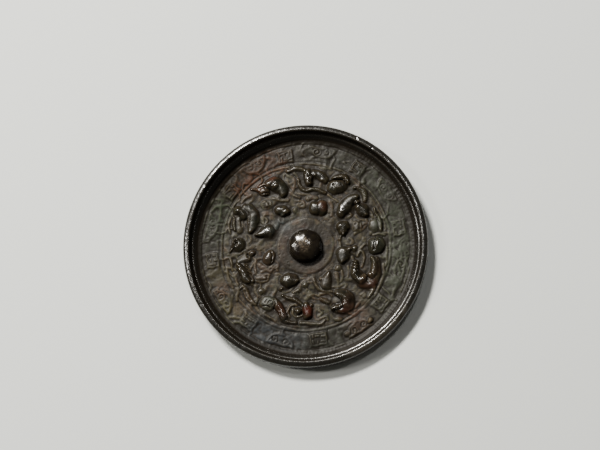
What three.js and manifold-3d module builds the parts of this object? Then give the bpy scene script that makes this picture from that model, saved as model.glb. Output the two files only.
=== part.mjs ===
import * as THREE from 'three';
import { mergeVertices } from 'three/addons/utils/BufferGeometryUtils.js';
import Module from 'manifold-3d';

// A cast bronze mirror, lying on its reflecting face with the decorated back up.
// Millimetres. The origin is the middle of the face that it lies on, +Z goes up
// through the knob, and +Y is the top of the picture.

// Disc and rim, as radius and height above the table
const rimRadius = 67.5;
const wallFootHeight = 2.4;
const wallTopHeight = 8.4;
const shoulderRadius = 66.5;
const shoulderHeight = 9.65;
const crestRadius = 64.9;
const crestHeight = 10.1;
const coveTopRadius = 64;
const coveTopHeight = 9.3;
const coveFootRadius = 63.1;
const coveFootHeight = 6.3;
const lipRadius = 62.4;
const lipHeight = 5.95;
const slopeKneeRadius = 60.3;
const slopeKneeHeight = 3.8;
const slopeFootRadius = 58.2;
const slopeFootHeight = 3.05;
const discSegments = 60;

// Decorated field
const fieldHeight = 2.9;
const ringRadius = 46.9;
const ringHalfWidth = 0.7;
const ringRise = 0.35;
const seatRadius = 15.8;
const seatRise = 0.45;
const edgeRun = 0.5;

// Reflecting face: slightly domed, with the flat middle that it rests on
const restRadius = 20;
const faceEdgeRadius = 66.8;
const faceEdgeLift = 1.1;
const faceSteps = 3;

// Knob: a low foot on the disc, and over it an arch under a dome. The cord runs
// straight through the arch from -X to +X, over the foot's flat top.
const knobRadius = 9.1;
const knobFootTop = 3.5;
const knobGap = 0.3;
const knobSideHeight = 6.2;
const knobShoulderRadius = 8.5;
const knobShoulderHeight = 7.2;
const knobTopHeight = 10.4;
const knobSegments = 28;
const knobDomeSteps = 4;
const cordHoleWidth = 6;
const cordHoleTop = 8.1;
const cordHoleCorner = 1.7;
const cordHoleCornerSteps = 4;
const cordHoleCutLength = 27;

// Eight square seals and eight half-rounds between the ring and the slope
const sealInnerRadius = 48.3;
const sealOuterRadius = 56.2;
const sealRise = 0.7;
const sealChamfer = 0.3;
const sealAngles = [10.5, 56, 102.5, 143, 188, 233, 277.5, 321.8];
const sealWidths = [9.6, 8, 9.2, 9.2, 9.2, 9.4, 10.4, 8.6];
const lobeBaseRadius = 56.9;
const lobeDepth = 7.2;
const lobeHalfWidth = 8.2;
const lobeRise = 0.55;
const lobeChamfer = 0.3;
const lobeSteps = 8;
const lobeAngles = [34, 80, 121.5, 168, 213, 255, 302.5, 345.5];

// How far the relief is sunk into the disc, so that it fuses with it
const rootDepth = 0.5;

// Rounded bosses: middle, half sizes across and along, turn in degrees, rise over the field
const bosses = {
  innerRing: [
    { at: [5.6, 21.5], half: [3.7, 3.9], turn: 10, rise: 2.4 },
    { at: [8.8, 21.4], half: [3.7, 4.1], turn: 0, rise: 2.4 },
    { at: [-20.3, -6.3], half: [3.3, 4.4], turn: -22, rise: 2.2 },
    { at: [-9.9, -19], half: [4.1, 4.1], turn: 0, rise: 2.5 },
    { at: [26.9, -1.8], half: [1.6, 2.2], turn: 0, rise: 1.4 },
  ],
  beasts: [
    { at: [38.9, -0.3], half: [4.8, 5.1], turn: 0, rise: 2.6 },
    { at: [18.2, -30.8], half: [3.2, 2.6], turn: 0, rise: 0.8 },
    { at: [38.2, 11], half: [3.3, 3.8], turn: 0, rise: 1.4 },
    { at: [17.8, 33.4], half: [5.8, 4.3], turn: 8, rise: 2.3 },
    { at: [19.4, 11], half: [2.5, 2.8], turn: 0, rise: 2.2 },
    { at: [21.9, 11], half: [2.5, 2.8], turn: 0, rise: 2.1 },
    { at: [-16.4, 34.2], half: [2.3, 2.3], turn: 0, rise: 2.9 },
    { at: [-23, 31.3], half: [3.2, 3], turn: 0, rise: 2.1 },
    { at: [-36.8, 1.1], half: [4, 4.1], turn: 0, rise: 2.3 },
    { at: [-20.8, -31.8], half: [4.9, 4], turn: 0, rise: 2 },
  ],
  beads: [
    { at: [31.9, -18.3], half: [2.2, 2.1], turn: 0, rise: 3.3 },
    { at: [35.8, -16.8], half: [1.7, 1.6], turn: 0, rise: 3.1 },
    { at: [28.6, 24], half: [1.8, 1.8], turn: 0, rise: 2.6 },
    { at: [-30, -3.4], half: [1.9, 1.7], turn: 0, rise: 1.5 },
    { at: [-3.9, -36], half: [1.9, 2], turn: 0, rise: 2.3 },
    { at: [-24.4, -25], half: [2, 2], turn: 0, rise: 1.1 },
    { at: [17.7, -12.7], half: [1.9, 1.9], turn: 0, rise: 0.9 },
    { at: [-0.3, -21.8], half: [1.8, 1.8], turn: 0, rise: 1 },
    { at: [35.3, -41.7], half: [1.7, 1.7], turn: 0, rise: 1.6 },
    { at: [17.8, -40.9], half: [2.2, 1.3], turn: -8, rise: 0.8 },
  ],
  dots: [
    { at: [27.3, 32.1], half: [1.2, 1.2], turn: 0, rise: 1.5 },
    { at: [16.6, -26.2], half: [1.1, 1], turn: 0, rise: 1.9 },
    { at: [-22.4, -17.8], half: [1.1, 1], turn: 0, rise: 1.2 },
    { at: [-28.9, -19.3], half: [1.3, 1.2], turn: 0, rise: 1.9 },
    { at: [-13.2, -23.7], half: [1.4, 1.2], turn: 30, rise: 1.3 },
    { at: [-12.6, 18], half: [1.5, 1.4], turn: 0, rise: 1.7 },
    { at: [8.4, -18.6], half: [1.3, 1.2], turn: 0, rise: 1.2 },
    { at: [5.6, 40], half: [1.2, 1], turn: 0, rise: 1.9 },
    { at: [9.2, 37.6], half: [1.2, 1], turn: 0, rise: 1.5 },
  ],
  lumps: [
    { at: [28.3, 10.8], half: [3, 3.9], turn: 0, rise: 1 },
    { at: [-21.8, 23.8], half: [3.3, 2.7], turn: 0, rise: 0.7 },
  ],
};

const largeBossHalf = 2.5;
const largeBossSides = 12;
const smallBossSides = 8;
const bossSteps = 6;

// Rounded ridges: the line they follow, widths along it and rise over the field
const ridges = {
  innerRing: [
    { line: [[20.6, 10.4], [20.9, 8.3], [21.2, 5.9]], width: [5.8, 5, 1.4], rise: 2.3 },
    { line: [[-15, 20.6], [-12.6, 20.2], [-10.7, 19.5]], width: [4.4, 5.4, 3.8], rise: 2.2 },
    { line: [[-20.6, 8.5], [-22.6, 8], [-25, 7], [-27.4, 6.3]], width: [7.6, 6.6, 3.8, 1.4], rise: 2.2 },
    { line: [[-9.5, -19], [-6.8, -18.9], [-4.2, -18.9]], width: [7.8, 6, 1.6], rise: 2 },
    { line: [[12.4, -16.2], [11.8, -18.4], [11.2, -20.8], [10.9, -22.2]],
      width: [3, 5.4, 6.6, 5.8], rise: 1.8 },
    { line: [[20.9, -4.2], [20.9, -6.4], [20.5, -8.8]], width: [8, 6.4, 2.8], rise: 2.3 },
    { line: [[22.6, -3.2], [25.2, -1.7]], width: [4.2, 2.4], rise: 1.8 },
  ],
  rightBeast: [
    { line: [[27.7, -9.6], [27.2, -14.4], [28, -17.4], [30.2, -20]], width: [3, 4, 4.6, 3.6], rise: 2.4 },
    { line: [[36.6, -17.4], [37.9, -13.8], [37.9, -10.6], [36.8, -7.2]],
      width: [3.4, 4.4, 4, 2.6], rise: 2.4 },
    { line: [[28.6, -16.4], [30.6, -20.2], [34.2, -21], [37.4, -18.6], [38.9, -13.8], [38.8, -8.6]],
      width: [5.4, 6.8, 7, 6.6, 5.4, 4.4], rise: 1.5 },
  ],
  upperRightBeast: [
    { line: [[19.8, 18.2], [22.2, 22], [25.2, 25.6], [28, 26.8]], width: [5.2, 7.4, 6.4, 3.2], rise: 2.4 },
    { line: [[29.9, 21.2], [31.8, 19.8], [33.4, 17.2]], width: [4.6, 7, 3.4], rise: 2.2 },
    { line: [[28.4, 32], [31.4, 30.6], [32.8, 27.8], [32.8, 25.2]], width: [2, 3.4, 3.6, 2.2], rise: 1.2 },
  ],
  topRightBeast: [
    { line: [[15.4, 37.6], [18.6, 38.8], [22, 38.2], [23.8, 35.6]], width: [2, 2.8, 4, 2.8], rise: 2.1 },
    { line: [[4.8, 41], [8, 40.1], [11, 37.4]], width: [4.4, 5.2, 4], rise: 1.5 },
    { line: [[1.6, 41], [1.7, 36.3]], width: [5.6, 5], rise: 2.1 },
    { line: [[11, 29.7], [5.4, 31.9], [0.2, 31.4], [-3.2, 34], [-4.4, 37.6]],
      width: [1.8, 2.4, 2.2, 1.8, 1.4], rise: 1.2 },
    { line: [[-10, 42.7], [-5.4, 43.8], [-0.6, 43.2]], width: [2.2, 2.8, 2], rise: 1.2 },
  ],
  topLeftBeast: [
    { line: [[-20.4, 35.4], [-16.8, 35.4], [-13.6, 32.8], [-12.4, 30]],
      width: [5.4, 8.4, 7.8, 4.8], rise: 2.4 },
    { line: [[-26, 33.7], [-23.2, 35.3], [-20.2, 36.1]], width: [1.8, 2.2, 2], rise: 1.8 },
    { line: [[-25, 31.9], [-27.6, 32.4], [-30, 33]], width: [2.8, 2, 1.1], rise: 1.3 },
  ],
  leftBeast: [
    { line: [[-37.4, 20.7], [-34.6, 18.3]], width: [5.2, 5.6], rise: 2.3 },
    { line: [[-34, 21.9], [-30.8, 20.8], [-29.3, 17], [-29.5, 12.8], [-30.8, 8.8]],
      width: [3.6, 6.6, 7, 5.6, 2.8], rise: 1.9 },
    { line: [[-39.9, 16.6], [-39.7, 13], [-39, 9.4]], width: [1.5, 2.4, 1.6], rise: 1.5 },
  ],
  lowerLeftBeast: [
    { line: [[-36.6, -8.3], [-34.4, -7], [-32.2, -6.3]], width: [3.6, 4.8, 3.4], rise: 1.3 },
    { line: [[-37.2, -10.2], [-35.4, -13], [-33.6, -16.2], [-32, -19]],
      width: [3, 4.4, 4.8, 4], rise: 2.3 },
    { line: [[-34.6, -10.9], [-32.7, -14.6], [-30.6, -18.9]], width: [4.8, 6, 5.6], rise: 1.1 },
    { line: [[-36.6, -23.6], [-34.7, -22.3], [-33, -24.4], [-31.8, -28], [-29.8, -30.8], [-27.6, -32.4]],
      width: [1.5, 2.2, 2.6, 2.8, 2.6, 1.5], rise: 1 },
  ],
  bottomLeftBeast: [
    { line: [[-17.4, -31.3], [-15, -33.4], [-13.1, -36.6], [-11.7, -39.6]],
      width: [5, 4.8, 4.8, 4], rise: 2.3 },
    { line: [[-12, -40.2], [-9.4, -42.2], [-5.6, -42.7]], width: [3.6, 2.8, 1.8], rise: 1.5 },
  ],
  bottomBeast: [
    { line: [[0.4, -33.2], [1.2, -35.6], [1.3, -38.2]], width: [3.4, 4.9, 4.2], rise: 2.5 },
    { line: [[-12.8, -27], [-9.4, -29.1], [-5.2, -30], [-2.2, -32.2], [-1.4, -34.6]],
      width: [1, 1.9, 2.3, 2.1, 1.2], rise: 1.4 },
  ],
  bottomRightBeast: [
    { line: [[18.4, -27], [20.9, -28], [22.5, -30], [22.6, -32.8]], width: [3, 4.4, 5.4, 4.2], rise: 2.5 },
    { line: [[17, -25.6], [21.4, -26.6], [24.1, -29.6], [23.9, -33], [20.8, -35.7], [17.6, -36]],
      width: [3.4, 5, 5.8, 6, 4.6, 2.8], rise: 1.6 },
    { line: [[14.8, -35.3], [17.4, -34.3], [20.4, -33.1]], width: [1.8, 3.6, 2.2], rise: 2.7 },
    { line: [[8.6, -29.6], [11, -30.6], [13, -31.4]], width: [1.8, 2.7, 2], rise: 1.2 },
  ],
};
const ridgeStep = 5;
const ridgeAcross = 4;
const capSteps = 2;
const capReach = 0.9;

const toRadians = Math.PI / 180;
const weldDistance = 1e-4;

const wasm = await Module();
wasm.setup();

// Turns a closed three.js mesh into a solid
function solid(geometry) {
  geometry.deleteAttribute('normal');
  geometry.deleteAttribute('uv');
  const merged = mergeVertices(geometry, weldDistance);
  const corners = merged.index.array;
  const kept = [];
  for (let i = 0; i < corners.length; i += 3) {
    const [a, b, c] = [corners[i], corners[i + 1], corners[i + 2]];
    if (a !== b && b !== c && c !== a) kept.push(a, b, c);
  }
  return new wasm.Manifold(new wasm.Mesh({
    numProp: 3,
    vertProperties: Float32Array.from(merged.attributes.position.array),
    triVerts: Uint32Array.from(kept),
  }));
}

// Turns a profile of [radius, height] pairs about the Z axis
function turned(profile, segments) {
  const points = profile.map(([radius, height]) => new THREE.Vector2(radius, height));
  const geometry = new THREE.LatheGeometry(points, segments);
  geometry.rotateX(Math.PI / 2);
  return solid(geometry);
}

// Disc: up the domed face, over the rim and back in across the field to the middle
const faceProfile = [[0, 0]];
for (let step = 0; step <= faceSteps; step++) {
  const share = step / faceSteps;
  const radius = restRadius + share * (faceEdgeRadius - restRadius);
  faceProfile.push([radius, faceEdgeLift * share * share]);
}
const discProfile = [
  ...faceProfile,
  [rimRadius, wallFootHeight],
  [rimRadius, wallTopHeight],
  [shoulderRadius, shoulderHeight],
  [crestRadius, crestHeight],
  [coveTopRadius, coveTopHeight],
  [coveFootRadius, coveFootHeight],
  [lipRadius, lipHeight],
  [slopeKneeRadius, slopeKneeHeight],
  [slopeFootRadius, slopeFootHeight],
  [slopeFootRadius - edgeRun, fieldHeight],
  [ringRadius + ringHalfWidth, fieldHeight],
  [ringRadius, fieldHeight + ringRise],
  [ringRadius - ringHalfWidth, fieldHeight],
  [seatRadius, fieldHeight],
  [seatRadius - edgeRun, fieldHeight + seatRise],
  [knobRadius, fieldHeight + seatRise],
  [knobRadius, knobFootTop],
  [0, knobFootTop],
];
const disc = turned(discProfile, discSegments);

// Knob: an upright side with a dome over it, cut through from below by an arch with
// rounded upper corners
const archFoot = knobFootTop + knobGap;
const knobProfile = [[0, archFoot], [knobRadius, archFoot], [knobRadius, knobSideHeight]];
for (let step = 0; step <= knobDomeSteps; step++) {
  const turn = (step / knobDomeSteps) * (Math.PI / 2);
  knobProfile.push([
    knobShoulderRadius * Math.cos(turn),
    knobShoulderHeight + (knobTopHeight - knobShoulderHeight) * Math.sin(turn),
  ]);
}
const knobBody = turned(knobProfile, knobSegments);

const arch = new THREE.Shape();
const cornerHeight = cordHoleTop - cordHoleCorner;
const cornerOffset = cordHoleWidth / 2 - cordHoleCorner;
arch.moveTo(-cordHoleWidth / 2, knobFootTop);
arch.lineTo(cordHoleWidth / 2, knobFootTop);
arch.absarc(cornerOffset, cornerHeight, cordHoleCorner, 0, Math.PI / 2, false);
arch.absarc(-cornerOffset, cornerHeight, cordHoleCorner, Math.PI / 2, Math.PI, false);
arch.closePath();
const cordHole = new THREE.ExtrudeGeometry(arch, {
  depth: cordHoleCutLength,
  bevelEnabled: false,
  curveSegments: cordHoleCornerSteps,
});
cordHole.translate(0, 0, -cordHoleCutLength / 2);
cordHole.rotateX(Math.PI / 2);
cordHole.rotateZ(Math.PI / 2);
const knobArch = knobBody.subtract(solid(cordHole));

// A low block of a flat outline with a chamfered top edge, standing on the field
function block(outline, rise, chamfer) {
  const geometry = new THREE.ExtrudeGeometry(outline, {
    depth: rise - chamfer + rootDepth,
    bevelEnabled: true,
    bevelSegments: 1,
    bevelThickness: chamfer,
    bevelSize: chamfer,
    bevelOffset: -chamfer,
  });
  geometry.translate(0, 0, fieldHeight - rootDepth);
  return geometry;
}

// Square seals, their inner and outer sides square to the radius
const parts = [];
sealAngles.forEach((angle, index) => {
  const half = sealWidths[index] / 2;
  const outline = new THREE.Shape();
  outline.moveTo(sealInnerRadius, -half);
  outline.lineTo(sealOuterRadius, -half);
  outline.lineTo(sealOuterRadius, half);
  outline.lineTo(sealInnerRadius, half);
  outline.closePath();
  parts.push(solid(block(outline, sealRise, sealChamfer).rotateZ(angle * toRadians)));
});

// Half-rounds, flat side outwards and the round side towards the ring
for (const angle of lobeAngles) {
  const outline = new THREE.Shape();
  for (let step = 0; step <= lobeSteps; step++) {
    const turn = Math.PI / 2 + (Math.PI * step) / lobeSteps;
    const x = lobeBaseRadius + lobeDepth * Math.cos(turn);
    const y = lobeHalfWidth * Math.sin(turn);
    if (step === 0) outline.moveTo(x, y);
    else outline.lineTo(x, y);
  }
  outline.closePath();
  parts.push(solid(block(outline, lobeRise, lobeChamfer).rotateZ(angle * toRadians)));
}

// Boss: a flattened ball whose lower half is the shallow root that is sunk in the field
function boss({ at, half, turn, rise }) {
  const around = Math.max(...half) > largeBossHalf ? largeBossSides : smallBossSides;
  const geometry = new THREE.SphereGeometry(1, around, bossSteps);
  geometry.rotateX(Math.PI / 2);
  const place = geometry.attributes.position;
  for (let i = 0; i < place.count; i++) {
    const z = place.getZ(i);
    place.setZ(i, z > 0 ? z * rise : z * rootDepth);
  }
  geometry.scale(half[0], half[1], 1);
  geometry.rotateZ(turn * toRadians);
  geometry.translate(at[0], at[1], fieldHeight);
  return solid(geometry);
}
for (const group of Object.values(bosses)) {
  for (const entry of group) parts.push(boss(entry));
}

// Width of a ridge at a share of its length, from the widths listed along it
function widthAt(width, share) {
  const place = share * (width.length - 1);
  const index = Math.min(Math.floor(place), width.length - 2);
  return THREE.MathUtils.lerp(width[index], width[index + 1], place - index);
}

// Ridge: half-round sections strung along a smooth line, with rounded ends
function ridge({ line, width, rise }) {
  const spine = new THREE.CatmullRomCurve3(line.map(([x, y]) => new THREE.Vector3(x, y, 0)));
  const steps = Math.max(width.length - 1, Math.ceil(spine.getLength() / ridgeStep));
  const stations = [];
  const addStation = (share, reach, across) => {
    const tangent = spine.getTangentAt(share);
    const middle = spine.getPointAt(share).addScaledVector(tangent, reach);
    stations.push({ middle, side: new THREE.Vector3(-tangent.y, tangent.x, 0), across });
  };
  const addCap = (share, across, way, step) => {
    const turn = (step / capSteps) * capReach * (Math.PI / 2);
    addStation(share, (way * Math.sin(turn) * across) / 2, Math.cos(turn) * across);
  };
  for (let step = capSteps; step >= 1; step--) addCap(0, width[0], -1, step);
  for (let step = 0; step <= steps; step++) {
    addStation(step / steps, 0, widthAt(width, step / steps));
  }
  for (let step = 1; step <= capSteps; step++) addCap(1, width[width.length - 1], 1, step);
  const widest = Math.max(...width);
  const positions = [];
  const faces = [];
  for (const { middle, side, across } of stations) {
    const height = rise * Math.sqrt(Math.min(1, across / widest));
    for (let k = 0; k <= ridgeAcross; k++) {
      const turn = (Math.PI * k) / ridgeAcross;
      const offset = (Math.cos(turn) * across) / 2;
      const lift = (height + rootDepth) * Math.sin(turn) - rootDepth;
      positions.push(middle.x + side.x * offset, middle.y + side.y * offset, fieldHeight + lift);
    }
  }
  const ring = ridgeAcross + 1;
  for (let s = 0; s + 1 < stations.length; s++) {
    for (let k = 0; k < ring; k++) {
      const a = s * ring + k;
      const b = s * ring + ((k + 1) % ring);
      faces.push(a, b, b + ring, a, b + ring, a + ring);
    }
  }
  const last = (stations.length - 1) * ring;
  for (let k = 1; k + 1 < ring; k++) {
    faces.push(0, k + 1, k, last, last + k, last + k + 1);
  }
  const geometry = new THREE.BufferGeometry();
  geometry.setAttribute('position', new THREE.Float32BufferAttribute(positions, 3));
  geometry.setIndex(faces);
  return solid(geometry);
}
for (const group of Object.values(ridges)) {
  for (const entry of group) parts.push(ridge(entry));
}

// Relief fused into the disc
let casting = disc;
for (const part of parts) casting = casting.add(part);

const bronze = new THREE.MeshStandardMaterial({ color: '#4b4236', roughness: 0.42, metalness: 0.85 });

// A named mesh with flat faces from a solid
function named(name, body) {
  const mesh = body.getMesh();
  const geometry = new THREE.BufferGeometry();
  geometry.setAttribute('position', new THREE.Float32BufferAttribute(mesh.vertProperties, 3));
  geometry.setIndex(new THREE.Uint32BufferAttribute(mesh.triVerts, 1));
  const flat = geometry.toNonIndexed();
  flat.computeVertexNormals();
  const result = new THREE.Mesh(flat, bronze);
  result.name = name;
  return result;
}

const group = new THREE.Group();
group.name = 'bronze_mirror';
group.add(named('mirror', casting), named('knob', knobArch));

export default group;
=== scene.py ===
import math
import bpy
import numpy as np
from mathutils import Matrix, Vector


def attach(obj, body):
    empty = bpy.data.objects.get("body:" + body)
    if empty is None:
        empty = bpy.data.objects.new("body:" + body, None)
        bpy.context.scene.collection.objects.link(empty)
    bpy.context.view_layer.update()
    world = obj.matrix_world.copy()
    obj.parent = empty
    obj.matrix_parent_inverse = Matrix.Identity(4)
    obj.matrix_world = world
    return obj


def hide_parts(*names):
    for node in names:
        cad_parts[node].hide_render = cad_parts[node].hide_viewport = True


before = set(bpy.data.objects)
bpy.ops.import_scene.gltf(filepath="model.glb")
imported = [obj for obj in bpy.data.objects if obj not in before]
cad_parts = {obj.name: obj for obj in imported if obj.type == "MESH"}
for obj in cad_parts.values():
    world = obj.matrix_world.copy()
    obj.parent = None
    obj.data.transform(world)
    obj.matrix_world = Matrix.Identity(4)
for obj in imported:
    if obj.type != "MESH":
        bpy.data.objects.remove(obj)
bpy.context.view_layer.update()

# Camera, floor and light
# The camera looks almost straight down, leaning a little towards the lower right
# of the picture. The floor is plain, pale and matt. Three small softboxes stand at
# the upper left, at the left and overhead, as the highlights on the relief show.

MM = 0.001

PICTURE_WIDTH = 600
PICTURE_MIDDLE = (300, 225)
FOCAL_PIXELS = 1500
SENSOR_WIDTH = 36
CAMERA_DISTANCE = 828.7 * MM
CAMERA_TILT = math.radians(12)
CAMERA_SIDE = math.radians(-65)
NEAREST_SEEN = 10 * MM
AIM = Vector((0, 0, 2.8 * MM))
AIM_PIXEL = (305.6, 246.2)

FLOOR_WIDTH = 6
FLOOR_COLOUR = "adb0af"
FLOOR_ROUGHNESS = 0.9

# Softboxes: azimuth and tilt in degrees, two sides in metres, power in watts, colour
LIGHT_DISTANCE = 1.5
LIGHTS = {
    "key_light": (124, 40, (0.37, 0.17), 85, (1, 0.97, 0.9)),
    "left_light": (172, 44, (0.17, 0.33), 11, (1, 0.97, 0.9)),
    "top_light": (62, 18, (0.13, 0.13), 4.4, (1, 0.98, 0.94)),
}
ROOM_COLOUR = (0.86, 0.84, 0.74, 1)
ROOM_STRENGTH = 0.115


def linear(hex_colour):
    """An sRGB colour such as "4a3f33" as linear red, green, blue, alpha."""
    values = [int(hex_colour[i:i + 2], 16) / 255 for i in (0, 2, 4)]
    return (*[v / 12.92 if v <= 0.04045 else ((v + 0.055) / 1.055) ** 2.4 for v in values], 1)


back = Vector((
    math.sin(CAMERA_TILT) * math.cos(CAMERA_SIDE),
    math.sin(CAMERA_TILT) * math.sin(CAMERA_SIDE),
    math.cos(CAMERA_TILT),
))
right = Vector((0, 1, 0)).cross(back).normalized()
up = back.cross(right)
across = (AIM_PIXEL[0] - PICTURE_MIDDLE[0]) / FOCAL_PIXELS * CAMERA_DISTANCE
down = (AIM_PIXEL[1] - PICTURE_MIDDLE[1]) / FOCAL_PIXELS * CAMERA_DISTANCE

bpy.ops.object.camera_add()
camera = bpy.context.object
camera.name = "camera"
camera.data.sensor_width = SENSOR_WIDTH
camera.data.lens = SENSOR_WIDTH * FOCAL_PIXELS / PICTURE_WIDTH
camera.data.clip_start = NEAREST_SEEN
camera.location = AIM + back * CAMERA_DISTANCE - right * across + up * down
camera.rotation_euler = Matrix((right, up, back)).transposed().to_euler()
bpy.context.scene.camera = camera

bpy.ops.mesh.primitive_plane_add(size=FLOOR_WIDTH)
floor = bpy.context.object
floor.name = "floor"
floor_finish = bpy.data.materials.new("floor_matt_white")
floor_finish.use_nodes = True
floor_shader = floor_finish.node_tree.nodes["Principled BSDF"]
floor_shader.inputs["Base Color"].default_value = linear(FLOOR_COLOUR)
floor_shader.inputs["Roughness"].default_value = FLOOR_ROUGHNESS
floor.data.materials.append(floor_finish)

for name, (azimuth, tilt, sides, power, light_colour) in LIGHTS.items():
    side, lean = math.radians(azimuth), math.radians(tilt)
    direction = Vector((math.sin(lean) * math.cos(side), math.sin(lean) * math.sin(side), math.cos(lean)))
    bpy.ops.object.light_add(type="AREA", location=direction * LIGHT_DISTANCE)
    light = bpy.context.object
    light.name = name
    light.data.shape = "RECTANGLE"
    light.data.size, light.data.size_y = sides
    light.data.energy = power
    light.data.color = light_colour
    light.rotation_euler = direction.to_track_quat("Z", "Y").to_euler()

world = bpy.data.worlds.new("studio")
bpy.context.scene.world = world
world.use_nodes = True
world.node_tree.nodes["Background"].inputs["Color"].default_value = ROOM_COLOUR
world.node_tree.nodes["Background"].inputs["Strength"].default_value = ROOM_STRENGTH


# Mirror
# One casting of leaded tin bronze, poured with its relief in a two-part clay mould.
# It is a thin disc with a stepped rim and a pierced knob, and its back has a seat,
# beasts, beads and a belt of seals. A fine skin of rings carries all of them.

# Turned body, in millimetres
RIM_RADIUS = 67.5
WALL_TOP = 8.4
CREST_START = 8.3
CREST_INNER_RADIUS = 62
SLOPE_FOOT = 58.4
SLOPE_TOP = 62.3
SLOPE_END = 57.8
FIELD = 2.9
REST = 20
FACE_EDGE = 66.8
FACE_LIFT = 1.1

# Knob: upright wall, then a flattened dome
KNOB_RADIUS = 9.2
KNOB_FOOT = 3.5
KNOB_WALL_END = 6.1
KNOB_SHOULDER = 6.2
KNOB_DOME = 4.15
KNOB_INSET = 0.05
KNOB_FULLNESS = 0.95
KNOB_TOP_RISE = 0.02

# Rounded edge between the face and the wall: radius, height and distance between points
EDGE_PROFILE = [(66.8, 1.1, 1.2), (67.2, 1.42, 1.0), (67.42, 1.9, 0.9), (67.5, 2.5, 0.85)]
# Upper profile of the rim from the wall inwards: radius and height
CREST_PROFILE = [
    (67.5, 8.4), (67.42, 8.8), (67.2, 9.15), (66.85, 9.45), (66.4, 9.69), (65.9, 9.88), (65.4, 10.02),
    (64.95, 10.09), (64.6, 10.06), (64.33, 9.92), (64.12, 9.65), (63.98, 9.25), (63.86, 8.7), (63.74, 8.1),
    (63.6, 7.5), (63.4, 6.9), (63.15, 6.42), (62.88, 6.1), (62.62, 5.98), (62.4, 5.98),
]
# Rim slope from the lip to its foot
SLOPE_PROFILE = [(62.15, 5.82), (61.7, 5.3), (60.9, 4.42), (60.4, 3.9), (60.0, 3.62), (59.2, 3.36),
                 (58.4, 3.16), (58.1, 3.0), (57.8, 2.9)]

# Distance between the points of the skin on the back, crest, wall and face
SKIN = 0.405
CREST_SKIN = 0.52
WALL_SKIN = 0.85
FACE_SKIN = 3.2
WALL_START = 3.4
WALL_STEP = 0.95
KNOB_STEP = 0.42
KNOB_GAP = 0.15
DOME_TURNS = np.arange(0.02, 1.54, 0.052)
FEWEST_POINTS = 8


def ring_list():
    """Every ring of the skin from the middle of the face to the top of the knob, as
    radius, height and distance between its points."""
    rings = []
    for radius in np.arange(FACE_SKIN, FACE_EDGE, FACE_SKIN):
        share = max(0, (radius - REST) / (FACE_EDGE - REST))
        rings.append((radius, FACE_LIFT * share * share, FACE_SKIN))
    rings += EDGE_PROFILE
    rings += [(RIM_RADIUS, height, WALL_SKIN) for height in np.arange(WALL_START, WALL_TOP, WALL_STEP)]
    rings += [(radius, height, CREST_SKIN) for radius, height in CREST_PROFILE]
    slope = np.array(SLOPE_PROFILE)[::-1]
    for radius in np.arange(CREST_INNER_RADIUS, KNOB_RADIUS + KNOB_GAP, -SKIN):
        height = float(np.interp(radius, slope[:, 0], slope[:, 1])) if radius > SLOPE_END else FIELD
        rings.append((radius, height, SKIN))
    rings += [(KNOB_RADIUS, height, SKIN) for height in np.arange(KNOB_FOOT, KNOB_WALL_END, KNOB_STEP)]
    for turn in DOME_TURNS:
        radius = (KNOB_RADIUS - KNOB_INSET) * math.cos(turn) ** KNOB_FULLNESS
        rings.append((radius, KNOB_SHOULDER + KNOB_DOME * math.sin(turn), SKIN))
    return rings


def skin_of_rings(rings):
    """Points and triangles of a closed skin through the rings, with a pole at both ends."""
    points = [(0, 0, 0)]
    faces = []
    starts = []
    for radius, height, spacing in rings:
        count = max(FEWEST_POINTS, int(round(2 * math.pi * radius / spacing)))
        starts.append((len(points), count))
        turns = 2 * math.pi * np.arange(count) / count
        points += list(zip(radius * np.cos(turns), radius * np.sin(turns), [height] * count))
    points.append((0, 0, rings[-1][1] + KNOB_TOP_RISE))
    first, count = starts[0]
    faces += [(0, first + (i + 1) % count, first + i) for i in range(count)]
    for (outer, outer_count), (inner, inner_count) in zip(starts, starts[1:]):
        i = j = 0
        while i < outer_count or j < inner_count:
            behind = (i + 1) * inner_count <= (j + 1) * outer_count
            here, there = outer + i % outer_count, inner + j % inner_count
            if j >= inner_count or (i < outer_count and behind):
                faces.append((here, outer + (i + 1) % outer_count, there))
                i += 1
            else:
                faces.append((here, inner + (j + 1) % inner_count, there))
                j += 1
    last, count = starts[-1]
    top = len(points) - 1
    faces += [(last + i, last + (i + 1) % count, top) for i in range(count)]
    return np.array(points, float), faces


LATTICE_SIDE = 64
LATTICE_SHIFT = 500


def lattice(x, y, size, seed):
    """Smooth random waves from 0 to 1 with the given size in millimetres."""
    table = np.random.default_rng(seed).random((LATTICE_SIDE, LATTICE_SIDE))
    u, v = x / size + LATTICE_SHIFT, y / size + LATTICE_SHIFT
    i, j = np.floor(u).astype(int), np.floor(v).astype(int)
    s, t = u - i, v - j
    s, t = s * s * (3 - 2 * s), t * t * (3 - 2 * t)
    i, j, next_i, next_j = (k % LATTICE_SIDE for k in (i, j, i + 1, j + 1))
    low = table[i, j] * (1 - s) + table[next_i, j] * s
    high = table[i, next_j] * (1 - s) + table[next_i, next_j] * s
    return low * (1 - t) + high * t


def waves(x, y, size, seed, height):
    """Random rise and fall about zero: size of the waves and height from foot to top."""
    return (lattice(x, y, size, seed) - 0.5) * height


def fade(value, start, run):
    """0 before start and rising to 1 over run. With a run below 0 it falls to 0 at start."""
    return np.clip((value - start) / run, 0, 1)


def line_at(place, middle, reach):
    """1 on the middle of a thin line, fading over reach to both sides."""
    return np.exp(-(((place - middle) / reach) ** 2))


def turned(x, y, degrees):
    """The same places in axes that are turned by degrees."""
    cosine, sine = math.cos(math.radians(degrees)), math.sin(math.radians(degrees))
    return x * cosine + y * sine, -x * sine + y * cosine


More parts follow.
